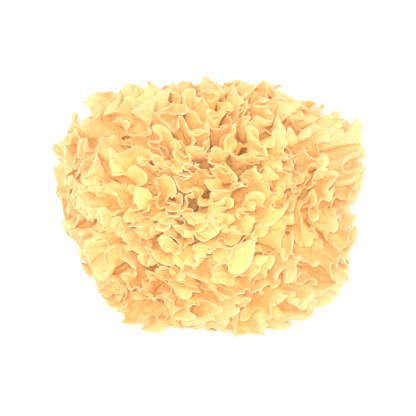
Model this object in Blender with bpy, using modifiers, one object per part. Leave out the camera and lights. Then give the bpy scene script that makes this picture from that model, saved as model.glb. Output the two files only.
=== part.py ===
"""A dried head of snow fungus: a cut foot, and ruffled fronds that grow from it into a low dome.

Metres, +Z up. The origin is the centre of the flat cut under the foot.

Each frond is drawn as it grows. It starts as a short line on a dome. Step by step the lines
lengthen and push each other away, so they have to fold, and no two of them cross. A frond is the
sheet that its line leaves behind while the dome swells from the foot to the full size of the head.
"""

import math
import random

import bmesh
import bpy
import numpy as np
from mathutils import Vector, noise

# The head's reach from its middle at every 30 degrees round, starting at +X, and its height.
HEAD_REACH = (0.0640, 0.0675, 0.0615, 0.0555, 0.0570, 0.0755, 0.0640, 0.0585, 0.0605, 0.0565, 0.0605, 0.0685)
HEAD_HEIGHT = 0.0495
# The dome swells from a middle point at this height. A power of 2 would make it an ellipsoid.
GROWTH_HEIGHT = 0.0095
DOME_POWER = 2.4
LOWEST_TILT = math.radians(97)

# The roots stand on a small dome, with these shares of the full dome's width and height.
ROOT_WIDTH_SHARE = 0.25
ROOT_HEIGHT_SHARE = 0.20

# Name, tilt from upright in degrees, number of fronds, length of their first lines, how far these may turn,
# and how many times as long they get.
RINGS = (
    ("crown_frond", 0.0, 1, 0.018, 1.5, 2.8),
    ("inner_frond", 25.0, 3, 0.023, 0.8, 2.8),
    ("middle_frond", 42.0, 5, 0.027, 0.6, 2.8),
    ("outer_frond", 57.5, 7, 0.030, 0.4, 2.8),
    ("lower_frond", 74.0, 8, 0.032, 0.3, 2.8),
    ("skirt_frond", 91.0, 8, 0.034, 0.2, 2.2),
)
RING_STAGGER = 0.37
TILT_SPREAD = math.radians(3)
AZIMUTH_SPREAD = 0.12
FIRST_WAVE = 0.0008
FIRST_WAVE_COUNTS = (2.0, 3.4)
LINE_SEED = 65

# How the lines grow. Points nearer than the personal space push each other away, but not near ones on one line.
LINE_POINTS = 80
GROWTH_STEPS = 80
ROUNDS_PER_STEP = 2
PERSONAL_SPACE = 0.0070
OWN_LINE_SPACE = 1.2 * PERSONAL_SPACE
PUSH = 0.00034
LONGEST_PUSH = 0.0006
STIFFNESS = 0.40
LINK_ROUNDS = 6
LINK_PULL = 0.175
TINY = 1e-9

# Each frond's mesh: the width of its columns at the rim, and the heights of its rows as shares of its length.
COLUMN_WIDTH = 0.0042
ROW_RISES = (0.0, 0.40, 0.73, 1.0)
SHEET_THICKNESS = 0.0012

# The rim's round lobes, and how much each frond may differ from the next.
RIM_REACHES = (0.93, 1.0)
RIM_LOBE_LENGTH = 0.018
RIM_LOBE_COUNTS = (0.9, 1.2)
RIM_LOBE_DEPTH = 0.09
NOTCH_SHARPNESS = 1.5
CORNER_ROUNDING = 0.16
CORNER_SHARPNESS = 6

# The finished sheets are pushed about smoothly, fully from this rise up, and kept above the floor.
WARP_LENGTH = 0.055
WARP_REACH = 0.010
WARP_FULL_RISE = 0.67
# From this rise up, neighbouring sheets lean over together, one way or another, and stay on the dome.
LEAN_LENGTH = 0.030
LEAN_REACH = 0.013
LEAN_START = 0.3
LEAN_CURVE = 1.5
MEAN_REACH = 0.061
FLOOR_CLEARANCE = 0.0012
FLOOR_SOFTNESS = 0.0016
NOISE_SEED = 6

# The foot fits under the roots with a small gap. The floor cuts off the lowest fifth of its underside.
FOOT_FIT = 0.95
FOOT_DEPTH_SHARE = 1.25
FOOT_LUMP = 0.0007
FOOT_LUMP_LENGTH = 0.009
FOOT_LUMP_START = 3.0

FROND_COLOUR = (0.93, 0.66, 0.28, 1.0)
FROND_ROUGHNESS = 0.5
FOOT_COLOUR = (0.55, 0.27, 0.08, 1.0)
FOOT_ROUGHNESS = 0.75

TAU = 2 * math.pi


def head_reach(azimuths):
    """The head's reach in each direction, on a smooth closed curve through HEAD_REACH."""
    reaches = np.array(HEAD_REACH)
    places = azimuths / TAU * len(reaches)
    firsts = np.floor(places).astype(int)
    shares = places - firsts
    before, start, end, after = (reaches[(firsts + step) % len(reaches)] for step in (-1, 0, 1, 2))
    slope_start, slope_end = (end - before) / 2, (after - start) / 2
    bend = slope_start + slope_end - 2 * (end - start)
    return start + shares * (slope_start + shares * (end - start - slope_start + (shares - 1) * bend))


def dome_points(tilts, azimuths):
    """The points of the full-size dome in directions from its middle: tilts from upright, and azimuths."""
    sideways, up = np.sin(tilts), np.cos(tilts)
    flat_term = (np.abs(sideways) / head_reach(azimuths)) ** DOME_POWER
    high_term = (np.abs(up) / (HEAD_HEIGHT - GROWTH_HEIGHT)) ** DOME_POWER
    size = (flat_term + high_term) ** (-1 / DOME_POWER)
    reach, height = size * sideways, size * up
    return np.stack((reach * np.cos(azimuths), reach * np.sin(azimuths), height), axis=-1)


def back_on_dome(points):
    """Moves points along their directions to the dome, and keeps them above the lowest tilt."""
    tilts = np.arctan2(np.hypot(points[..., 0], points[..., 1]), points[..., 2])
    return dome_points(np.minimum(tilts, LOWEST_TILT), np.arctan2(points[..., 1], points[..., 0]))


def first_lines():
    """A short, faintly wavy line for each frond, spread over the dome in staggered rings."""
    dice = random.Random(LINE_SEED)
    shares = np.linspace(-0.5, 0.5, LINE_POINTS)
    lines = []
    for ring, (_, ring_tilt, count, length, most_turn, _) in enumerate(RINGS):
        for number in range(count):
            azimuth = TAU * (number + RING_STAGGER * ring) / count
            azimuth += dice.uniform(-AZIMUTH_SPREAD, AZIMUTH_SPREAD)
            tilt = math.radians(ring_tilt) + dice.uniform(-TILT_SPREAD, TILT_SPREAD)
            middle = dome_points(np.array(tilt), np.array(azimuth))
            outward = middle / np.linalg.norm(middle)
            east = np.array((-math.sin(azimuth), math.cos(azimuth), 0.0))
            turn = dice.uniform(-most_turn, most_turn)
            along = math.cos(turn) * east + math.sin(turn) * np.cross(east, outward)
            wave = FIRST_WAVE * np.sin(TAU * (dice.uniform(*FIRST_WAVE_COUNTS) * shares + dice.random()))
            lines.append(middle + length * shares[:, None] * along + wave[:, None] * np.cross(along, outward))
    return back_on_dome(np.array(lines))


def pushes(lines, spacings):
    """The push on each point from every other point that is too near, apart from its own neighbours."""
    points = lines.reshape(-1, 3)
    frond = np.repeat(np.arange(len(lines)), LINE_POINTS)
    place = np.tile(np.arange(LINE_POINTS), len(lines))
    squares = (points ** 2).sum(axis=1)
    gaps = squares[:, None] + squares[None] - 2 * points @ points.T
    first, second = np.nonzero(gaps < PERSONAL_SPACE ** 2)
    along_line = np.abs(place[first] - place[second]) * spacings[frond[first], 0]
    strangers = (frond[first] != frond[second]) | (along_line > OWN_LINE_SPACE)
    first, second = first[strangers], second[strangers]
    away = points[first] - points[second]
    distance = np.maximum(np.linalg.norm(away, axis=1), TINY)[:, None]
    total = np.zeros_like(points)
    np.add.at(total, first, PUSH * away / distance * (1 - distance / PERSONAL_SPACE))
    size = np.maximum(np.linalg.norm(total, axis=1), TINY)[:, None]
    return (total * np.minimum(1, LONGEST_PUSH / size)).reshape(lines.shape)


def grow_lines():
    """The lines after each step of growth."""
    lines = first_lines()
    counts = [ring[2] for ring in RINGS]
    lengths = np.repeat([ring[3] for ring in RINGS], counts)
    growth_per_step = np.repeat([ring[5] for ring in RINGS], counts) ** (1 / GROWTH_STEPS)
    spacings = lengths[:, None] / (LINE_POINTS - 1)
    history = [lines]
    for _ in range(GROWTH_STEPS):
        spacings = spacings * growth_per_step[:, None]
        for _ in range(ROUNDS_PER_STEP):
            lines = lines + pushes(lines, spacings)
            lines[:, 1:-1] += STIFFNESS * ((lines[:, :-2] + lines[:, 2:]) / 2 - lines[:, 1:-1])
            for _ in range(LINK_ROUNDS):
                links = np.diff(lines, axis=1)
                sizes = np.linalg.norm(links, axis=-1, keepdims=True)
                pull = LINK_PULL * links * (1 - spacings[:, None] / sizes)
                lines[:, :-1] += pull
                lines[:, 1:] -= pull
            lines = back_on_dome(lines)
        history.append(lines)
    return np.array(history)


def sheet_points(history, frond, shares, rises):
    """Points of a frond's sheet, at shares along its line and rises from 0, the root, to 1, the full dome."""
    steps = rises * (len(history) - 1)
    firsts = np.minimum(steps.astype(int), len(history) - 2)
    places = shares * (LINE_POINTS - 1)
    lefts = np.minimum(places.astype(int), LINE_POINTS - 2)
    step_shares, place_shares = (steps - firsts)[:, None], (places - lefts)[:, None]
    lines = history[:, frond]
    early = lines[firsts, lefts] * (1 - place_shares) + lines[firsts, lefts + 1] * place_shares
    late = lines[firsts + 1, lefts] * (1 - place_shares) + lines[firsts + 1, lefts + 1] * place_shares
    width = ROOT_WIDTH_SHARE + (1 - ROOT_WIDTH_SHARE) * rises
    height = ROOT_HEIGHT_SHARE + (1 - ROOT_HEIGHT_SHARE) * rises
    points = (early * (1 - step_shares) + late * step_shares) * np.stack((width, width, height), axis=-1)
    points[:, 2] += GROWTH_HEIGHT
    return points


def settled(point, rise):
    """Pushes a point about smoothly, more towards the rims, and keeps it above the floor."""
    push = WARP_REACH * noise.noise_vector(point / WARP_LENGTH)
    outward = Vector((point.x, point.y, (point.z - GROWTH_HEIGHT) * (MEAN_REACH / HEAD_HEIGHT) ** 2)).normalized()
    lean = LEAN_REACH * noise.noise_vector(point / LEAN_LENGTH)
    lean -= lean.dot(outward) * outward
    lean *= max(0.0, (rise - LEAN_START) / (1 - LEAN_START)) ** LEAN_CURVE
    point = point + push * min(1.0, rise / WARP_FULL_RISE) + lean
    above = point.z - FLOOR_CLEARANCE
    point.z = FLOOR_CLEARANCE + (above + math.hypot(above, FLOOR_SOFTNESS)) / 2
    return point


def rim_rises(name, length, shares):
    """How far up the rim ends at these shares of the line: round lobes, and rounded ends."""
    dice = random.Random(name)
    lobes = length / RIM_LOBE_LENGTH * dice.uniform(*RIM_LOBE_COUNTS)
    notches = (1 - np.abs(np.sin(math.pi * (lobes * shares + dice.random())))) ** NOTCH_SHARPNESS
    ends = np.abs(2 * shares - 1) ** CORNER_SHARPNESS
    return dice.uniform(*RIM_REACHES) * (1 - RIM_LOBE_DEPTH * notches - CORNER_ROUNDING * ends)


def add_object(name, mesh, collection, material):
    part = bpy.data.objects.new(name, mesh)
    part.data.materials.append(material)
    collection.objects.link(part)
    return part


def make_frond(name, history, number, collection, material):
    """A grid bent onto the frond's sheet, and thickened."""
    length = np.linalg.norm(np.diff(history[-1, number], axis=0), axis=-1).sum()
    rows = len(ROW_RISES) - 1
    sheet = bmesh.new()
    bmesh.ops.create_grid(sheet, x_segments=round(length / COLUMN_WIDTH), y_segments=rows, size=0.5)
    shares = np.array([min(1.0, max(0.0, vertex.co.x + 0.5)) for vertex in sheet.verts])
    rises = np.array([ROW_RISES[round((vertex.co.y + 0.5) * rows)] for vertex in sheet.verts])
    rises *= rim_rises(name, length, shares)
    for vertex, point, rise in zip(sheet.verts, sheet_points(history, number, shares, rises), rises):
        vertex.co = settled(Vector(point), rise)
    mesh = bpy.data.meshes.new(name)
    sheet.to_mesh(mesh)
    sheet.free()
    mesh.shade_smooth()
    frond = add_object(name, mesh, collection, material)
    shell = frond.modifiers.new("thickness", "SOLIDIFY")
    shell.thickness = SHEET_THICKNESS
    shell.offset = 0


def make_foot(collection, material):
    """The hard foot: domed where the fronds leave it, lumpy at its sides, and cut flat underneath."""
    lump = bmesh.new()
    bmesh.ops.create_uvsphere(lump, u_segments=20, v_segments=10, radius=1)
    for vertex in lump.verts:
        azimuth = math.atan2(vertex.co.y, vertex.co.x)
        side = math.hypot(vertex.co.x, vertex.co.y)
        tilt = math.atan2(side, max(0.0, vertex.co.z))
        dome = dome_points(np.array(tilt), np.array(azimuth))
        point = Vector(dome) * FOOT_FIT
        point.x *= ROOT_WIDTH_SHARE
        point.y *= ROOT_WIDTH_SHARE
        point.z *= ROOT_HEIGHT_SHARE
        if vertex.co.z < 0:
            push = FOOT_LUMP * noise.noise_vector(point / FOOT_LUMP_LENGTH)
            point = point * math.sqrt(side) + push * min(1.0, -FOOT_LUMP_START * vertex.co.z)
            point.z = FOOT_DEPTH_SHARE * GROWTH_HEIGHT * vertex.co.z
        point.z = max(0.0, point.z + GROWTH_HEIGHT)
        vertex.co = point
    mesh = bpy.data.meshes.new("foot")
    lump.to_mesh(mesh)
    lump.free()
    mesh.shade_smooth()
    return add_object("foot", mesh, collection, material)


def make_material(name, colour, roughness):
    material = bpy.data.materials.new(name)
    material.use_nodes = True
    shader = material.node_tree.nodes["Principled BSDF"]
    shader.inputs["Base Color"].default_value = colour
    shader.inputs["Roughness"].default_value = roughness
    shader.inputs["Metallic"].default_value = 0.0
    return material


def main():
    for old in list(bpy.data.objects):
        bpy.data.objects.remove(old)
    head = bpy.data.collections.new("snow_fungus")
    bpy.context.scene.collection.children.link(head)

    noise.seed_set(NOISE_SEED)
    make_foot(head, make_material("foot", FOOT_COLOUR, FOOT_ROUGHNESS))
    history = grow_lines()
    names = []
    for ring_name, _, count, _, _, _ in RINGS:
        names += [ring_name] if count == 1 else [f"{ring_name}_{number}" for number in range(1, count + 1)]
    for number, name in enumerate(names):
        make_frond(name, history, number, head, make_material(name, FROND_COLOUR, FROND_ROUGHNESS))


main()
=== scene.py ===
# %% [markdown]
# # A dried head of snow fungus
#
# The packed model holds the head as plain solids: a foot, and 32 coarse fronds with thick edges.
# This lesson keeps the foot. It grows each frond again as the real thing has it, a thin jelly-like
# sheet whose rim is much longer than its root, so that it has to fold, ruffle and curl.
# The steps are the frame, the camera, the growth, the sheets, the finishes, and last the light.

# %% Load the packed head
import math
import random
from collections import namedtuple

import bmesh
import bpy
import numpy as np
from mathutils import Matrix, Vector, noise


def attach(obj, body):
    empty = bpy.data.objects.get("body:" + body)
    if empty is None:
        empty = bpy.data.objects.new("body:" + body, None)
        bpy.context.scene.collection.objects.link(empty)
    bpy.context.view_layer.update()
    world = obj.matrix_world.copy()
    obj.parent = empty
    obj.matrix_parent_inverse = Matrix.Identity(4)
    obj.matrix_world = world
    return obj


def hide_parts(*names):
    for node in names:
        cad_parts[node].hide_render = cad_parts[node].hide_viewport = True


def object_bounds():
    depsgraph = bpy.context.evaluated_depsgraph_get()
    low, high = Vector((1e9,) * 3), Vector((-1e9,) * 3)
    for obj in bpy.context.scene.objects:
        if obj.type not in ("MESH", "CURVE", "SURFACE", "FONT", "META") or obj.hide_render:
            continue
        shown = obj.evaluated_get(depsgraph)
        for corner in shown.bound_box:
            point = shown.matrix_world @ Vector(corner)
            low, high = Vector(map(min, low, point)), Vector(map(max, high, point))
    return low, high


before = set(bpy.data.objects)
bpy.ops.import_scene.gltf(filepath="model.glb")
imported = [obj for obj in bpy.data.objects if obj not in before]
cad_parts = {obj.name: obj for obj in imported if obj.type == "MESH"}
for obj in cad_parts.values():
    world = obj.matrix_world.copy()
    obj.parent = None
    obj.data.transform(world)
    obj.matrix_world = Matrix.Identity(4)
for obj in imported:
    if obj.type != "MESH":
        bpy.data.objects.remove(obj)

TAU = 2 * math.pi
cad_low, cad_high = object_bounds()
print("packed nodes:", len(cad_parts))

# %% [markdown]
# ## The camera
#
# The photograph looks straight down on the head from far away, so there is hardly any perspective.
# A long lens does the same here. The distance follows from how much of the picture the head fills.

# %% Look straight down from far away
HEAD_SHARE_OF_PICTURE = 0.78
LENS_MM = 120.0
SENSOR_MM = 36.0

middle = (cad_low + cad_high) / 2
picture_width = (cad_high.x - cad_low.x) / HEAD_SHARE_OF_PICTURE
camera = bpy.data.objects.new("camera", bpy.data.cameras.new("camera"))
camera.data.lens = LENS_MM
camera.data.sensor_width = SENSOR_MM
camera.location = (middle.x, middle.y, middle.z + picture_width * LENS_MM / SENSOR_MM)
bpy.context.scene.collection.objects.link(camera)
bpy.context.scene.camera = camera

# %% [markdown]
# ## The dome that the head fills
#
# A head has no skin that could be drawn as one surface, but its rims all end near one low dome.
# The dome is a stretched ball with slightly square shoulders. Its width differs from direction to
# direction, and a smooth closed curve joins the widths that are given at every 30 degrees.
# These are the values that the solids were made with, so the sheets end up where the solids are.

# %% Points on the dome
# The head's reach from its middle at every 30 degrees round, starting at +X.
HEAD_REACH = (
    0.0640, 0.0675, 0.0615, 0.0555, 0.0570, 0.0755,
    0.0640, 0.0585, 0.0605, 0.0565, 0.0605, 0.0685,
)
HEAD_HEIGHT = 0.0495
GROWTH_HEIGHT = 0.0095
DOME_POWER = 2.4
LOWEST_TILT = math.radians(97)


def head_reach(azimuths):
    """The head's reach in each direction, on a smooth closed curve through HEAD_REACH."""
    reaches = np.array(HEAD_REACH)
    places = azimuths / TAU * len(reaches)
    firsts = np.floor(places).astype(int)
    shares = places - firsts
    before, start, end, after = (reaches[(firsts + step) % len(reaches)] for step in (-1, 0, 1, 2))
    slope_start, slope_end = (end - before) / 2, (after - start) / 2
    bend = slope_start + slope_end - 2 * (end - start)
    return start + shares * (slope_start + shares * (end - start - slope_start + (shares - 1) * bend))


def dome_points(tilts, azimuths):
    """The dome's points in directions from its middle: tilts from upright, and azimuths."""
    sideways, up = np.sin(tilts), np.cos(tilts)
    flat_term = (np.abs(sideways) / head_reach(azimuths)) ** DOME_POWER
    high_term = (np.abs(up) / (HEAD_HEIGHT - GROWTH_HEIGHT)) ** DOME_POWER
    size = (flat_term + high_term) ** (-1 / DOME_POWER)
    reach, height = size * sideways, size * up
    return np.stack((reach * np.cos(azimuths), reach * np.sin(azimuths), height), axis=-1)


def back_on_dome(points):
    """Moves points along their directions to the dome, and keeps them above the lowest tilt."""
    tilts = np.arctan2(np.hypot(points[..., 0], points[..., 1]), points[..., 2])
    return dome_points(np.minimum(tilts, LOWEST_TILT), np.arctan2(points[..., 1], points[..., 0]))


dome_top = float(dome_points(np.array(0.0), np.array(0.0))[2] + GROWTH_HEIGHT)

# %% [markdown]
# ## Where the fronds start
#
# Young fronds stand around the foot like the petals of a rose: one in the middle, then rings of
# three, five, seven, eight and eight. On the dome each is only a short, faintly wavy line.
# A seeded dice spreads them a little, so that no ring looks laid out with a compass.
#
# Each ring has its tilt from upright in degrees, its number of fronds, the length of their first
# lines, how far these may turn in radians, how many times as long they get in the broad growth,
# and how far apart the rows of close folds end up. The rows stand close at the crown and wide at
# the skirt, because the real head is tight in the middle and open at its edge.

# %% Lay a short line for each frond
Ring = namedtuple("Ring", "name tilt fronds length most_turn growth row_spacing")
RINGS = (
    Ring("crown_frond", 0.0, 1, 0.018, 1.5, 2.8, 0.0018),
    Ring("inner_frond", 25.0, 3, 0.023, 0.8, 2.8, 0.0027),
    Ring("middle_frond", 42.0, 5, 0.027, 0.6, 2.8, 0.0030),
    Ring("outer_frond", 57.5, 7, 0.030, 0.4, 2.8, 0.0033),
    Ring("lower_frond", 74.0, 8, 0.032, 0.3, 2.8, 0.0042),
    Ring("skirt_frond", 91.0, 8, 0.034, 0.2, 2.2, 0.0070),
)
RING_STAGGER = 0.37
TILT_SPREAD = math.radians(3)
AZIMUTH_SPREAD = 0.12
FIRST_WAVE = 0.0008
FIRST_WAVE_COUNTS = (2.0, 3.4)
LINE_SEED = 65
LINE_POINTS = 80


def first_lines():
    """A short, faintly wavy line for each frond, spread over the dome in staggered rings."""
    dice = random.Random(LINE_SEED)
    shares = np.linspace(-0.5, 0.5, LINE_POINTS)
    lines = []
    for place, ring in enumerate(RINGS):
        for number in range(ring.fronds):
            azimuth = TAU * (number + RING_STAGGER * place) / ring.fronds
            azimuth += dice.uniform(-AZIMUTH_SPREAD, AZIMUTH_SPREAD)
            tilt = math.radians(ring.tilt) + dice.uniform(-TILT_SPREAD, TILT_SPREAD)
            middle_point = dome_points(np.array(tilt), np.array(azimuth))
            outward = middle_point / np.linalg.norm(middle_point)
            east = np.array((-math.sin(azimuth), math.cos(azimuth), 0.0))
            turn = dice.uniform(-ring.most_turn, ring.most_turn)
            along = math.cos(turn) * east + math.sin(turn) * np.cross(east, outward)
            across = np.cross(along, outward)
            wave = FIRST_WAVE * np.sin(TAU * (dice.uniform(*FIRST_WAVE_COUNTS) * shares + dice.random()))
            lines.append(middle_point + ring.length * shares[:, None] * along + wave[:, None] * across)
    return back_on_dome(np.array(lines))


frond_names = []
for ring in RINGS:
    numbered = [f"{ring.name}_{number}" for number in range(1, ring.fronds + 1)]
    frond_names += [ring.name] if ring.fronds == 1 else numbered
ring_counts = [ring.fronds for ring in RINGS]
young_lines = first_lines()
print("lines:", len(young_lines), " points on each:", LINE_POINTS)

# %% [markdown]
# ## How they grow
#
# The rim of a frond grows faster than its root, and that alone makes it frilly. The same thing
# happens in a lettuce leaf. Drawing frills by hand, or adding sine waves, gives a curtain. It is
# easier to let each line lengthen a little, push points that come too near apart, smooth the line,
# and pull its links back to their length, and to do that over and over. Folds then find their own
# places, and the lines keep clear of each other.
#
# The first helper finds points that are near each other. It compares a batch of points with all
# the others at once, because a loop over single pairs would take far too long in Python.

# %% Find points that are near each other
POINTS_AT_ONCE = 400


def near_pairs(points, reach):
    """The numbers of all points that lie nearer to each other than this reach, in pairs."""
    points = points.astype(np.float32)
    squares = (points ** 2).sum(axis=1)
    firsts, seconds = [], []
    for start in range(0, len(points), POINTS_AT_ONCE):
        batch = slice(start, start + POINTS_AT_ONCE)
        gaps = squares[batch, None] + squares[None] - 2 * points[batch] @ points.T
        first, second = np.nonzero(gaps < reach ** 2)
        firsts.append(first + start)
        seconds.append(second)
    return np.concatenate(firsts), np.concatenate(seconds)


point_count = young_lines.shape[0] * young_lines.shape[1]
print("points to compare:", point_count, " pairs of them:", point_count ** 2)

# %% [markdown]
# The second helper pushes those points apart, harder the nearer they are, but never further than
# a set length in one round. Points close along the same line are left alone, because they are
# near each other on any line, folded or not.

# %% Push near points apart
PUSH = 0.00034
LONGEST_PUSH = 0.0006
OWN_LINE_SHARE = 1.2
TINY = 1e-9


def pushed(points, first, second, along_line, space):
    """The points after those that are too near have pushed each other away."""
    away = points[first] - points[second]
    distance = np.maximum(np.linalg.norm(away, axis=1), TINY)
    near = (distance < space) & (along_line > OWN_LINE_SHARE * space)
    first, away, distance = first[near], away[near], distance[near, None]
    push = PUSH * away / distance * (1 - distance / space)
    total = np.stack([np.bincount(first, push[:, axis], len(points)) for axis in range(3)], axis=-1)
    size = np.maximum(np.linalg.norm(total, axis=1), TINY)[:, None]
    return points + total * np.minimum(1, LONGEST_PUSH / size)


# %% [markdown]
# The third helper puts the rounds together and keeps the lines of every step, because the sheets
# are made from that history. Which points are near is looked up only every few rounds, with a
# margin for how far they can move in between.

# %% Let lines lengthen, step by step
ROUNDS_PER_STEP = 2
LOOK_ROUNDS = 4
LOOK_MARGIN = 0.0016
STIFFNESS = 0.40
LINK_ROUNDS = 6
LINK_PULL = 0.175


def grow(lines, lengths, last_lengths, steps, space):
    """The lines after each step of growth, in which each comes nearer to its last length."""
    count = lines.shape[1]
    frond = np.repeat(np.arange(len(lines)), count)
    place = np.tile(np.arange(count), len(lines))
    factors = (last_lengths / lengths) ** (1 / steps)
    spacings = lengths / (count - 1)
    history = [lines]
    for turn in range(steps * ROUNDS_PER_STEP):
        if turn % ROUNDS_PER_STEP == 0:
            spacings = spacings * factors
        if turn % LOOK_ROUNDS == 0:
            first, second = near_pairs(lines.reshape(-1, 3), space + LOOK_MARGIN)
        along_line = np.abs(place[first] - place[second]) * spacings[frond[first]]
        along_line[frond[first] != frond[second]] = math.inf
        lines = pushed(lines.reshape(-1, 3), first, second, along_line, space).reshape(lines.shape)
        lines[:, 1:-1] += STIFFNESS * ((lines[:, :-2] + lines[:, 2:]) / 2 - lines[:, 1:-1])
        for _ in range(LINK_ROUNDS):
            links = np.diff(lines, axis=1)
            sizes = np.linalg.norm(links, axis=-1, keepdims=True)
            pull = LINK_PULL * links * (1 - spacings[:, None, None] / sizes)
            lines[:, :-1] += pull
            lines[:, 1:] -= pull
        lines = back_on_dome(lines)
        if turn % ROUNDS_PER_STEP == ROUNDS_PER_STEP - 1:
            history.append(lines)
    return np.array(history)


print("links are pulled", LINK_ROUNDS, "times in each of", ROUNDS_PER_STEP, "rounds a step")

# %% [markdown]
# ## Broad folds
#
# The first growth is the one that the solids were made with: broad folds, 7 mm apart. Each ring
# has its own factor, and the skirt's is smaller, so that it stays flatter.

# %% Grow the broad folds
BROAD_STEPS = 80
BROAD_SPACE = 0.0070

young_lengths = np.repeat([ring.length for ring in RINGS], ring_counts)
broad_lengths = young_lengths * np.repeat([ring.growth for ring in RINGS], ring_counts)
broad_history = grow(young_lines, young_lengths, broad_lengths, BROAD_STEPS, BROAD_SPACE)

# %% [markdown]
# ## Spreading out
#
# The broad folds leave some wide gaps. So the lines grow a fifth longer while they push each other
# away over a longer distance, and that shares the dome out more evenly.

# %% Spread the broad folds
SPREAD_STEPS = 30
SPREAD_GROWTH = 1.2
SPREAD_SPACE = 0.010

spread_lengths = broad_lengths * SPREAD_GROWTH
spread_history = grow(broad_history[-1], broad_lengths, spread_lengths, SPREAD_STEPS, SPREAD_SPACE)

# %% [markdown]
# ## More points on each line
#
# The short folds that come next need more points. New points on straight links would leave
# corners at the old ones, so they lie on a smooth curve through the old points instead.

# %% Read lines between their points
FINE_POINTS = 260


def around(places, count):
    """For places on a line of so many points: the four points around each, and its share of the way."""
    lefts = np.clip(places.astype(int), 0, count - 2)
    four = [np.clip(lefts + step, 0, count - 1) for step in (-1, 0, 1, 2)]
    return four, (places - lefts)[:, None]


def on_curve(before, start, end, after, shares):
    """Points between start and end on the smooth curve through all four."""
    second_term = 2 * before - 5 * start + 4 * end - after
    third_term = 3 * (start - end) + after - before
    return start + shares / 2 * (end - before + shares * (second_term + shares * third_term))


def with_more_points(lines):
    """The same lines with FINE_POINTS points each."""
    four, shares = around(np.linspace(0, LINE_POINTS - 1, FINE_POINTS), LINE_POINTS)
    return on_curve(*(lines[..., numbers, :] for numbers in four), shares)


coarse_history = np.concatenate((broad_history, spread_history[1:]))
coarse_history = np.array([with_more_points(lines) for lines in coarse_history])
print("points on each line now:", coarse_history.shape[2])

# %% [markdown]
# ## How long each frond gets
#
# A frond grows as long as it has room for. Its room is the part of the dome that lies nearer to it
# than to any other frond, and rows of folds fill it at its ring's spacing. Towards the front, -Y,
# the rows stand further apart: the real head opens into broad lobes there.

# %% Share the dome out among the fronds
APRON_WIDENING = 0.7
FRONT_REACH = HEAD_REACH[9]
ROOM_TILTS = 60
ROOM_AZIMUTHS = 160


def room_around(lines):
    """The area of the dome that lies nearest to each frond's line."""
    tilts = np.linspace(0, LOWEST_TILT, ROOM_TILTS)
    azimuths = np.linspace(0, TAU, ROOM_AZIMUTHS, endpoint=False)
    points = dome_points(*np.meshgrid(tilts, azimuths, indexing="ij"))
    across = np.roll(points, -1, axis=1) - points
    areas = np.linalg.norm(np.cross(np.gradient(points, axis=0), across), axis=-1).ravel()
    points, line_points = points.reshape(-1, 3), lines.reshape(-1, 3)
    nearest = ((line_points ** 2).sum(axis=1) - 2 * points @ line_points.T).argmin(axis=1)
    return np.bincount(nearest // lines.shape[1], areas, len(lines))


spread_lines = coarse_history[-1]
towards_front = np.clip(-spread_lines.mean(axis=1)[:, 1] / FRONT_REACH, 0, 1)
row_spacings = np.repeat([ring.row_spacing for ring in RINGS], ring_counts)
row_spacings = row_spacings * (1 + APRON_WIDENING * towards_front)
fine_lengths = np.maximum(spread_lengths, room_around(spread_lines) / row_spacings)

# %% [markdown]
# ## Close folds
#
# The last growth leaves less room between the lines, 4 mm, and folds them more closely. A straight
# stretch has no reason to bend to one side, so a faint wave starts its folds.

# %% Grow the close folds
FINE_STEPS = 80
FINE_SPACE = 0.0040
FIRST_FOLD_LENGTH = 0.0075
FIRST_FOLD_REACH = 0.0005
WANDER = 1.2
WANDER_COUNTS = (1.2, 2.0)


def wandering_wave(dice, shares, count):
    """A wave with this many turns along the line, some longer and some shorter."""
    drift = WANDER * np.sin(TAU * (dice.uniform(*WANDER_COUNTS) * shares + dice.random()))
    return np.sin(TAU * (count * shares + dice.random()) + drift)


def with_a_faint_wave(lines, lengths):
    """The lines with a faint sideways wave, so that their straight parts fold as well."""
    dice = random.Random(LINE_SEED)
    shares = np.linspace(0, 1, lines.shape[1])
    waves = np.array([wandering_wave(dice, shares, length / FIRST_FOLD_LENGTH) for length in lengths])
    sideways = np.cross(np.gradient(lines, axis=1), lines)
    sideways /= np.linalg.norm(sideways, axis=-1, keepdims=True)
    return back_on_dome(lines + FIRST_FOLD_REACH * waves[..., None] * sideways)


fine_start = with_a_faint_wave(spread_lines, spread_lengths)
fine_history = grow(fine_start, spread_lengths, fine_lengths, FINE_STEPS, FINE_SPACE)
history = np.concatenate((coarse_history, fine_history[1:]))
rim_lengths = np.linalg.norm(np.diff(history[-1], axis=1), axis=-1).sum(axis=-1)

# %% [markdown]
# ## From lines to sheets
#
# A frond is the surface that its line leaves behind while the dome swells from the foot to full
# size. So each point of the sheet has two numbers: its share along the line, and its rise from
# the root, 0, to the full dome, 1. The rise says how far the growth had come, and how large the
# dome was then. The spreading and the close folds start a little above the root.

# %% Read a sheet out of the growth
ROOT_WIDTH_SHARE = 0.25
ROOT_HEIGHT_SHARE = 0.20
FINE_START = 0.06
FINE_ONSET = 1.5
LATE_STEPS = SPREAD_STEPS + FINE_STEPS


def sheet_points(number, shares, rises):
    """Points of one frond's sheet, at shares along its line and at rises."""
    late_part = np.clip((rises - FINE_START) / (1 - FINE_START), 0, 1) ** FINE_ONSET
    steps = rises * BROAD_STEPS + late_part * LATE_STEPS
    firsts = np.minimum(steps.astype(int), BROAD_STEPS + LATE_STEPS - 1)
    next_share = (steps - firsts)[:, None]
    four, curve_shares = around(shares * (FINE_POINTS - 1), FINE_POINTS)
    lines = history[:, number]
    earlier = on_curve(*(lines[firsts, numbers] for numbers in four), curve_shares)
    later = on_curve(*(lines[firsts + 1, numbers] for numbers in four), curve_shares)
    points = earlier * (1 - next_share) + later * next_share
    width = ROOT_WIDTH_SHARE + (1 - ROOT_WIDTH_SHARE) * rises
    height = ROOT_HEIGHT_SHARE + (1 - ROOT_HEIGHT_SHARE) * rises
    points *= np.stack((width, width, height), axis=-1)
    points[:, 2] += GROWTH_HEIGHT
    return points


print("steps from root to rim:", BROAD_STEPS + LATE_STEPS)

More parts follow.
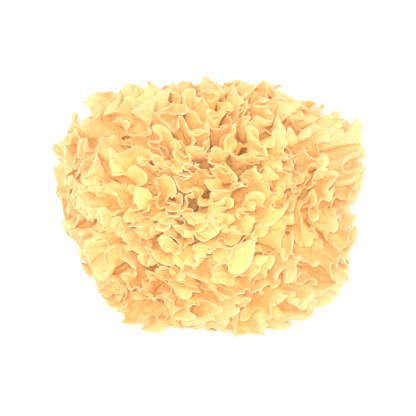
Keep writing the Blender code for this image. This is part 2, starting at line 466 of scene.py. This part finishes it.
# %% [markdown]
# ## The form of a rim
#
# The growth gives folds, but their rims would all end at one height, like a clipped hedge. Real
# rims run in round lobes with narrow notches, some fronds stop short, and a frond's ends round
# off. The large lobes are the solids' own. Wide bays and small scallops come on top of them here.

# %% How far up each rim goes
RIM_REACHES = (0.93, 1.0)
RIM_LOBE_LENGTH = 0.018
RIM_LOBE_COUNTS = (0.9, 1.2)
RIM_LOBE_DEPTH = 0.09
NOTCH_SHARPNESS = 1.5
CORNER_ROUNDING = 0.16
CORNER_SHARPNESS = 6
BAY_LENGTH = 0.031
BAY_DEPTH = 0.04
SCALLOP_LENGTH = 0.0075
SCALLOP_DEPTH = 0.025


def rim_rises(name, length, shares):
    """How far up the rim ends at these shares of the line: round lobes, and rounded ends."""
    dice = random.Random(name)
    lobes = length / RIM_LOBE_LENGTH * dice.uniform(*RIM_LOBE_COUNTS)
    notches = (1 - np.abs(np.sin(math.pi * (lobes * shares + dice.random())))) ** NOTCH_SHARPNESS
    ends = np.abs(2 * shares - 1) ** CORNER_SHARPNESS
    return dice.uniform(*RIM_REACHES) * (1 - RIM_LOBE_DEPTH * notches - CORNER_ROUNDING * ends)


def fine_rim(dice, name, number, shares):
    """The rim with its wide bays and small scallops as well."""
    bays = 0.5 + 0.5 * wandering_wave(dice, shares, broad_lengths[number] / BAY_LENGTH)
    scallops = 1 - np.abs(wandering_wave(dice, shares, rim_lengths[number] / SCALLOP_LENGTH / 2))
    rim = rim_rises(name, broad_lengths[number], shares)
    return rim * (1 - BAY_DEPTH * bays) * (1 - SCALLOP_DEPTH * scallops ** NOTCH_SHARPNESS)


print("before lobes, fronds end between", RIM_REACHES[0], "and", RIM_REACHES[1], "of the dome")

# %% [markdown]
# ## Ruffles, curling lips and crumple
#
# As a frond dries, three smaller shapes come up on its folds. Faint ruffles run along the rim. The
# last part below the rim curls over to one side or the other as a lip. And the whole sheet
# crumples like thin leather, in bumps of 9, 4.5 and 2.1 mm. All three push the sheet along its own
# normal, and fade out towards the root. The lips are much longer than the ruffles, so that a rim
# runs in round loops.

# %% Push a sheet along its normals
RUFFLE_LENGTH = 0.0058
RUFFLE_REACH = 0.0004
RUFFLE_START = 0.5
RUFFLE_MEAN = 0.65
RUFFLE_PATCHES = 2.3
LIP_LENGTH = 0.026
LIP_REACH = 0.0034
LIP_START = 0.84
LIP_CURVE = 2
LIP_PATCH = 0.045
LIP_LEAST = 0.35
CRUMPLE_REACH = 0.0016
CRUMPLE_LAYERS = ((0.0090, 1.0), (0.0045, 0.6), (0.0021, 0.35))
CRUMPLE_FULL = 0.4


def smooth(share):
    """Goes from 0 to 1 with a soft start and a soft end."""
    share = np.clip(share, 0, 1)
    return share * share * (3 - 2 * share)


def ruffle_and_lip(dice, number, shares, heights):
    """How far ruffles and lips push each point. Heights run from the root, 0, to the rim, 1."""
    rim = rim_lengths[number]
    ruffle = wandering_wave(dice, shares, rim / RUFFLE_LENGTH)
    ruffle *= RUFFLE_MEAN + (1 - RUFFLE_MEAN) * wandering_wave(dice, shares, RUFFLE_PATCHES)
    ruffle *= RUFFLE_REACH * smooth((heights - RUFFLE_START) / (1 - RUFFLE_START))
    lip = wandering_wave(dice, shares, rim / LIP_LENGTH)
    lip *= LIP_LEAST + (1 - LIP_LEAST) * (0.5 + 0.5 * wandering_wave(dice, shares, rim / LIP_PATCH))
    lip *= LIP_REACH * np.clip((heights - LIP_START) / (1 - LIP_START), 0, 1) ** LIP_CURVE
    return ruffle + lip


def crumple(points, heights):
    """How far the crumple pushes each point."""
    bumps = np.array([
        sum(share * noise.noise(Vector(point) / length) for length, share in CRUMPLE_LAYERS)
        for point in points
    ])
    return CRUMPLE_REACH * smooth(heights / CRUMPLE_FULL) * bumps


# %% [markdown]
# ## Settling
#
# Three more steps make the head less regular. A slow, smooth noise pushes everything about.
# Neighbouring sheets lean over together, along the dome and more towards their rims, so that some
# lie open and show a face while others close. And a soft floor keeps the skirt above the table.
# The solids went through the same steps. Only the second, smaller lean is added here.

# %% Settle the points
WARP_LENGTH = 0.055
WARP_REACH = 0.010
WARP_FULL_RISE = 0.67
LEAN_LAYERS = ((0.030, 0.013), (0.014, 0.004))
LEAN_START = 0.3
LEAN_CURVE = 1.5
MEAN_REACH = 0.061
FLOOR_CLEARANCE = 0.0012
FLOOR_SOFTNESS = 0.0016
NOISE_SEED = 6


def away_from_middle(point):
    """The direction in which the dome faces near a point."""
    steepness = (MEAN_REACH / HEAD_HEIGHT) ** 2
    return Vector((point.x, point.y, (point.z - GROWTH_HEIGHT) * steepness)).normalized()


def settled(point, rise):
    """Pushes a point about smoothly, more towards the rims, and keeps it above the floor."""
    push = WARP_REACH * noise.noise_vector(point / WARP_LENGTH)
    push *= min(1.0, rise / WARP_FULL_RISE)
    lean = sum((reach * noise.noise_vector(point / length) for length, reach in LEAN_LAYERS), Vector())
    outward = away_from_middle(point)
    lean -= lean.dot(outward) * outward
    point = point + push + lean * max(0.0, (rise - LEAN_START) / (1 - LEAN_START)) ** LEAN_CURVE
    above = point.z - FLOOR_CLEARANCE
    point.z = FLOOR_CLEARANCE + (above + math.hypot(above, FLOOR_SOFTNESS)) / 2
    return point


noise.seed_set(NOISE_SEED)

# %% [markdown]
# ## A flat start
#
# A flat grid is the simplest start: the X of each of its points is the share along the line, and
# its Y the height from root to rim.
#
# Seen from above, the gaps between the folds would show the foot. Real heads are packed with lower
# ruffles there. So the mesh gets a second, coarser grid for a frill: the same line, turned about Z
# and ended lower. At the crown it turns most, because a turn moves it least there. A frill crosses
# other sheets, which real tissue doesn't do. Most of that is hidden deep in the folds, and growing
# a second set of lines among the first would take much longer.

# %% Lay out a flat sheet and its frill
COLUMN_WIDTH = 0.0008
ROWS = 26
FRILL_COLUMN_WIDTH = 0.0014
FRILL_ROWS = 14
FRILL_TURNS = np.repeat((1.6, 1.5, 0.9, 0.42, 0.42, 0.42), ring_counts)
FRILL_HEIGHTS = np.repeat((0.97, 0.93, 0.88, 0.86, 0.86, 0.86), ring_counts)


def numbers_from(rows, label):
    """The three numbers that each vertex or normal of a mesh has, as an array."""
    numbers = np.zeros(len(rows) * 3, np.float32)
    rows.foreach_get(label, numbers)
    return numbers.reshape(-1, 3).astype(float)


def flat_mesh(name, number):
    """A mesh of two flat grids of side 1, and which of its points are in the frill."""
    grid = bmesh.new()
    for column_width, rows in ((COLUMN_WIDTH, ROWS), (FRILL_COLUMN_WIDTH, FRILL_ROWS)):
        columns = round(rim_lengths[number] / column_width)
        bmesh.ops.create_grid(grid, x_segments=columns, y_segments=rows, size=0.5)
    mesh = bpy.data.meshes.new(f"{name}_sheet")
    grid.to_mesh(mesh)
    grid.free()
    frill_points = (columns + 1) * (rows + 1)
    frill = np.arange(len(mesh.vertices)) >= len(mesh.vertices) - frill_points
    return mesh, frill


print("a rim of mean length has", round(rim_lengths.mean() / COLUMN_WIDTH), "columns")

# %% [markdown]
# ## Bending it
#
# The points move to the sheet, and Blender's own vertex normals then say which way to push. Rows
# lie closer near the rim, where the shape is finest. Two numbers stay on each point for the
# finish: its rise, and its distance from the rim.

# %% Bend the flat sheet into a frond
ROW_CROWDING = 1.5
SHEET_HEIGHT = 0.045


def turned(points, angle):
    """Points turned about Z."""
    cosine, sine = math.cos(angle), math.sin(angle)
    return points @ np.array(((cosine, sine), (-sine, cosine)))


def bend(mesh, frill, name, number):
    """Bends a frond's flat mesh to its final shape. Returns each point's level on the flat grid."""
    dice = random.Random(f"{name} sheet")
    flat = numbers_from(mesh.vertices, "co") + 0.5
    shares = np.clip(flat[:, 0], 0, 1)
    heights = 1 - (1 - np.clip(flat[:, 1], 0, 1)) ** ROW_CROWDING
    rises = heights * fine_rim(dice, name, number, shares) * np.where(frill, FRILL_HEIGHTS[number], 1.0)
    points = sheet_points(number, shares, rises)
    points[frill, :2] = turned(points[frill, :2], FRILL_TURNS[number])
    mesh.vertices.foreach_set("co", points.astype(np.float32).ravel())
    mesh.update()
    reach = ruffle_and_lip(dice, number, shares, heights) + crumple(points, heights)
    points += numbers_from(mesh.vertex_normals, "vector") * reach[:, None]
    points = np.array([settled(Vector(point), rise) for point, rise in zip(points, rises)])
    mesh.vertices.foreach_set("co", points.astype(np.float32).ravel())
    for label, values in (("rise", rises), ("from_rim", (1 - heights) * SHEET_HEIGHT)):
        mesh.attributes.new(label, "FLOAT", "POINT").data.foreach_set("value", values.astype(np.float32))
    mesh.shade_smooth()
    return np.round(flat[:, 1], 4)


print("rows of a sheet and of its frill:", ROWS, FRILL_ROWS)

# %% [markdown]
# ## Giving it two sides
#
# Solidify gives the sheet its thickness, and a vertex group makes it thicker at the root than at
# the rim. Then the sheet takes the place of its plain solid.

# %% Thicken the sheets and put them in place
ROOT_THICKNESS = 0.0007
RIM_THICKNESS = 0.0003


def thicken(frond, levels):
    """Gives a sheet two sides. Levels run from the root, 0, to the rim, 1."""
    rooted = frond.vertex_groups.new(name="rooted")
    for level in np.unique(levels).tolist():
        rooted.add(np.nonzero(levels == level)[0].tolist(), (1 - level) ** 2, "REPLACE")
    shell = frond.modifiers.new("thickness", "SOLIDIFY")
    shell.thickness = ROOT_THICKNESS
    shell.offset = 0
    shell.vertex_group = "rooted"
    shell.thickness_vertex_group = RIM_THICKNESS / ROOT_THICKNESS


def make_frond(name, number):
    """One frond as a thin ruffled sheet, in place of its plain solid."""
    mesh, frill = flat_mesh(name, number)
    levels = bend(mesh, frill, name, number)
    frond = bpy.data.objects.new(f"{name}_sheet", mesh)
    bpy.context.scene.collection.objects.link(frond)
    thicken(frond, levels)
    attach(frond, "root")
    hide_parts(name)
    return frond


fronds = [make_frond(name, number) for number, name in enumerate(frond_names)]
face_count = sum(len(frond.data.polygons) for frond in fronds)
print("fronds:", len(fronds), " triangles with both sides:", 4 * face_count)

# %% [markdown]
# ## A way to write finishes
#
# A finish is a net of shader nodes, and sums on it are clearer as sums than as a list of links.
# So one small class wraps a socket and lets Python's operators add Math nodes, and one method
# makes every other node from its type, its settings and what goes into its sockets.


# %% Sums on sockets
class Wire:
    """A node's output, on which sums can be written, such as 1 - mask * 0.5."""

    def __init__(self, finish, socket):
        self.finish = finish
        self.socket = socket

    def worked(self, operation, first, second):
        return self.finish.node("ShaderNodeMath", {"operation": operation}, {0: first, 1: second})

    def __add__(self, other):
        return self.worked("ADD", self, other)

    def __radd__(self, other):
        return self.worked("ADD", other, self)

    def __sub__(self, other):
        return self.worked("SUBTRACT", self, other)

    def __rsub__(self, other):
        return self.worked("SUBTRACT", other, self)

    def __mul__(self, other):
        return self.worked("MULTIPLY", self, other)

    def __rmul__(self, other):
        return self.worked("MULTIPLY", other, self)

    def __truediv__(self, other):
        return self.worked("DIVIDE", self, other)

    def __rtruediv__(self, other):
        return self.worked("DIVIDE", other, self)


operators = [name for name in vars(Wire) if name.endswith(("add__", "sub__", "mul__", "div__"))]
print("operators ready:", operators)

# %% [markdown]
# The second class holds a material. Its node method makes a node of any type, fills its sockets
# with values or wires, and returns one of its outputs. Three short methods call it for what the
# finishes need most often: clouds of noise, a clamped sum, and a colour between two colours.


# %% One method for every other node
class Finish:
    """A material that is made node by node."""

    def __init__(self, name):
        self.material = bpy.data.materials.new(name)
        self.material.use_nodes = True
        self.tree = self.material.node_tree
        self.shader = self.tree.nodes["Principled BSDF"]

    def fill(self, socket, value):
        """Sets a socket to a value, or links it to a wire."""
        if isinstance(value, Wire):
            self.tree.links.new(value.socket, socket)
        else:
            socket.default_value = value

    def node(self, kind, settings=None, inputs=None, output=0):
        """Makes a node, and returns one of its outputs as a wire."""
        made = self.tree.nodes.new(kind)
        for name, value in (settings or {}).items():
            if name == "stops":
                ramp = made.color_ramp.elements
                while len(ramp) < len(value):
                    ramp.new(1.0)
                for element, (position, colour) in zip(ramp, value):
                    element.position = position
                    element.color = colour
            else:
                setattr(made, name, value)
        for name, value in (inputs or {}).items():
            self.fill(made.inputs[name], value)
        return Wire(self, made.outputs[output])

    def clouds(self, place, scale, detail):
        """Soft noise from 0 to 1. A larger scale gives smaller clouds."""
        return self.node("ShaderNodeTexNoise", {}, {"Vector": place, "Scale": scale, "Detail": detail})

    def clamped(self, operation, first, second):
        """A sum that is kept between 0 and 1."""
        settings = {"operation": operation, "use_clamp": True}
        return self.node("ShaderNodeMath", settings, {0: first, 1: second})

    def blended(self, share, first, second):
        """A colour between two colours."""
        return self.node("ShaderNodeMix", {"data_type": "RGBA"}, {0: share, 6: first, 7: second}, output=2)

    def set(self, **sockets):
        """Fills the shader's own sockets, whose names have _ for a space here."""
        for name, value in sockets.items():
            self.fill(self.shader.inputs[name.replace("_", " ")], value)


print("methods of a finish:", [name for name in vars(Finish) if not name.startswith("_")])

# %% [markdown]
# ## The frond's colour
#
# Dried snow fungus is a stiff jelly, pale gold and half see-through. The thin rim is nearly white
# along its last millimetre, and the outer lobes are paler than the middle. The colour comes from
# the two numbers on the mesh and the distance from the head's middle, and noise breaks it up.
#
# In the real thing light also comes through the thin sheets, and brightens the folds from inside.
# The model's sheets are opaque, so little light gets down there. That is why the colour here is
# palest at the root, where real tissue is, if anything, darker.

# %% Mix the frond's colour
ROOT_COLOUR = (1.0, 0.72, 0.28, 1)
FOLD_COLOUR = (1.0, 0.62, 0.22, 1)
TOP_COLOUR = (1.0, 0.57, 0.24, 1)
OUTER_COLOUR = (1.0, 0.68, 0.36, 1)
RIM_COLOUR = (1.0, 0.84, 0.56, 1)
DEPTH_STOPS = ((0.20, ROOT_COLOUR), (0.62, FOLD_COLOUR), (1.0, TOP_COLOUR))
RISE_WEIGHT = 0.6
REACH_WEIGHT = 7.0
PATCH_WEIGHT = 0.9
MOTTLE_WEIGHT = 0.3
NOISE_MEAN = 0.5
OUTER_START = 0.032
OUTER_STEEPNESS = 20.0
RIM_BAND = 0.0009
RIM_SHARE = 0.9
WITHOUT_HEIGHT = (1, 1, 0)

frond_finish = Finish("dried_jelly")
place = frond_finish.node("ShaderNodeTexCoord", output="Object")
rise = frond_finish.node("ShaderNodeAttribute", {"attribute_name": "rise"}, output="Fac")
from_rim = frond_finish.node("ShaderNodeAttribute", {"attribute_name": "from_rim"}, output="Fac")
patches = frond_finish.clouds(place, scale=70.0, detail=3.0)
mottle = frond_finish.clouds(place, scale=420.0, detail=4.0)
level_place = frond_finish.node(
    "ShaderNodeVectorMath", {"operation": "MULTIPLY"}, {0: place, 1: WITHOUT_HEIGHT}
)
reach = frond_finish.node("ShaderNodeVectorMath", {"operation": "LENGTH"}, {0: level_place}, output="Value")
depth_share = (
    rise * RISE_WEIGHT
    + reach * REACH_WEIGHT
    + (patches - NOISE_MEAN) * PATCH_WEIGHT
    + (mottle - NOISE_MEAN) * MOTTLE_WEIGHT
)
depth_colour = frond_finish.node("ShaderNodeValToRGB", {"stops": DEPTH_STOPS}, {"Fac": depth_share})
rim_mask = frond_finish.clamped("SUBTRACT", 1.0, from_rim / RIM_BAND)
outer_mask = frond_finish.clamped("MULTIPLY", reach - OUTER_START, OUTER_STEEPNESS)
outer_colour = frond_finish.blended(outer_mask * rise, depth_colour, OUTER_COLOUR)
jelly_colour = frond_finish.blended(rim_mask * patches * RIM_SHARE, outer_colour, RIM_COLOUR)
print("nodes for the frond's colour:", len(frond_finish.tree.nodes))

# %% [markdown]
# ## The frond's surface
#
# Light has to pass into the jelly, or it looks like painted card. Subsurface scattering does part
# of that. Two more things stand in for light from behind. A sheen brightens the steep sides of
# the folds. And a faint amber glow lifts the darkest of them.
# Dried fungus gives no light, so whoever uses the head in a dark scene sets that strength to 0.
# Fine creases and finer wrinkles go into the bump.

# %% Make the frond finish
GLOW_COLOUR = (1.0, 0.45, 0.06, 1)
SHEEN_COLOUR = (1.0, 0.74, 0.38, 1)
WRINKLE_SHARE = 0.4
JELLY_ROUGHNESS = 0.48
ROUGHNESS_SPREAD = 0.2

wrinkles = frond_finish.clouds(place, scale=900.0, detail=5.0)
creases = frond_finish.clouds(place, scale=330.0, detail=3.0)
bump = frond_finish.node(
    "ShaderNodeBump",
    {},
    {"Strength": 0.5, "Distance": 0.0018, "Height": creases + wrinkles * WRINKLE_SHARE},
)
frond_finish.set(
    Base_Color=jelly_colour,
    Roughness=JELLY_ROUGHNESS + mottle * ROUGHNESS_SPREAD,
    Normal=bump,
    Subsurface_Weight=0.3,
    Subsurface_Radius=(1.0, 0.85, 0.65),
    Subsurface_Scale=0.0006,
    IOR=1.42,
    Sheen_Weight=1.0,
    Sheen_Roughness=0.5,
    Sheen_Tint=SHEEN_COLOUR,
    Emission_Color=GLOW_COLOUR,
    Emission_Strength=0.06,
)
for frond in fronds:
    frond.data.materials.append(frond_finish.material)
print("frond finish nodes:", len(frond_finish.tree.nodes))

# %% [markdown]
# ## The foot finish
#
# The foot is the hard part that held the wood: amber to brown, matt, and rough. The packed solid
# has the right shape, so it stays, and only gets this finish. Its domed top, where the fronds grow
# out of it, has the colour of their roots, so that a gap in the crown shows less of the bark.

# %% Make the foot finish
DARK_BARK = (0.33, 0.13, 0.03, 1)
AMBER_BARK = (0.62, 0.32, 0.09, 1)
PALE_BARK = (0.80, 0.50, 0.18, 1)
CROWN_START = 0.010
CROWN_UNEVENNESS = 0.004
CROWN_STEEPNESS = 250.0
BARK_STOPS = ((0.30, DARK_BARK), (0.52, AMBER_BARK), (0.72, PALE_BARK))
BLOTCH_WEIGHT = 0.8
GRIT_WEIGHT = 0.2
GRIT_DEPTH = 0.4
BARK_ROUGHNESS = 0.62

foot_finish = Finish("hard_amber_foot")
place = foot_finish.node("ShaderNodeTexCoord", output="Object")
blotches = foot_finish.clouds(place, scale=160.0, detail=6.0)
grit = foot_finish.clouds(place, scale=1400.0, detail=4.0)
bark_share = blotches * BLOTCH_WEIGHT + grit * GRIT_WEIGHT
bark_colour = foot_finish.node("ShaderNodeValToRGB", {"stops": BARK_STOPS}, {"Fac": bark_share})
height = foot_finish.node("ShaderNodeSeparateXYZ", {}, {"Vector": place}, output="Z")
above_crown = height - CROWN_START + blotches * CROWN_UNEVENNESS
crown_mask = foot_finish.clamped("MULTIPLY", above_crown, CROWN_STEEPNESS)
foot_bump = foot_finish.node(
    "ShaderNodeBump",
    {},
    {"Strength": 0.6, "Distance": 0.0006, "Height": blotches + grit * GRIT_DEPTH},
)
foot_finish.set(
    Base_Color=foot_finish.blended(crown_mask, bark_colour, ROOT_COLOUR),
    Roughness=BARK_ROUGHNESS + grit * ROUGHNESS_SPREAD,
    Normal=foot_bump,
    Subsurface_Weight=0.25,
    Subsurface_Radius=(1.0, 0.8, 0.6),
    Subsurface_Scale=0.0010,
)
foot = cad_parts["foot"]
foot.data.materials.clear()
foot.data.materials.append(foot_finish.material)
print("foot finish nodes:", len(foot_finish.tree.nodes))

# %% [markdown]
# ## Floor
#
# The head stands on a plain pale floor. The floor lies a tenth of a millimetre low, because the
# foot's cut is at height 0, and two faces in one plane show as a black patch.

# %% Lay the floor
FLOOR_SIZE = 3.0
FLOOR_HEIGHT = -0.0001
FLOOR_COLOUR = (0.86, 0.86, 0.86, 1)

bpy.ops.mesh.primitive_plane_add(size=FLOOR_SIZE, location=(0, 0, FLOOR_HEIGHT))
floor = bpy.context.object
floor.name = "floor"
floor_finish = Finish("pale_floor")
floor_finish.set(Base_Color=FLOOR_COLOUR, Roughness=0.8)
floor.data.materials.append(floor_finish.material)
print("floor size in m:", FLOOR_SIZE)

# %% [markdown]
# ## Light
#
# The photograph is bright and soft, with no hard shadow. A strong white room does most of it. Two
# lamps stand a metre up, near the camera's line of sight, because light from there reaches deep
# into the folds. The stronger is a little to the upper left, which leaves the folds a lit and a
# shaded side, and the weaker fills the right.

# %% Set the light
ROOM_STRENGTH = 1.08
LAMP_SIZE = 0.12
LAMPS = (
    ("upper_left_lamp", (-0.06, 0.07, 1.0), 3.4),
    ("right_lamp", (0.05, -0.03, 1.0), 2.1),
)


def soft_lamp(name, place, watts):
    """A square area lamp that faces the middle of the head."""
    lamp = bpy.data.objects.new(name, bpy.data.lights.new(name, "AREA"))
    lamp.data.energy = watts
    lamp.data.size = LAMP_SIZE
    lamp.location = place
    lamp.rotation_euler = Vector(place).to_track_quat("Z", "Y").to_euler()
    bpy.context.scene.collection.objects.link(lamp)


for lamp_name, lamp_place, lamp_watts in LAMPS:
    soft_lamp(lamp_name, lamp_place, lamp_watts)
world = bpy.data.worlds.new("white_room")
world.use_nodes = True
background = world.node_tree.nodes["Background"]
background.inputs["Color"].default_value = (1, 1, 1, 1)
background.inputs["Strength"].default_value = ROOM_STRENGTH
bpy.context.scene.world = world
bpy.context.scene.view_settings.view_transform = "Standard"
print("lamps:", len(bpy.data.lights))

# %% [markdown] The sheets must stay where the solids are.
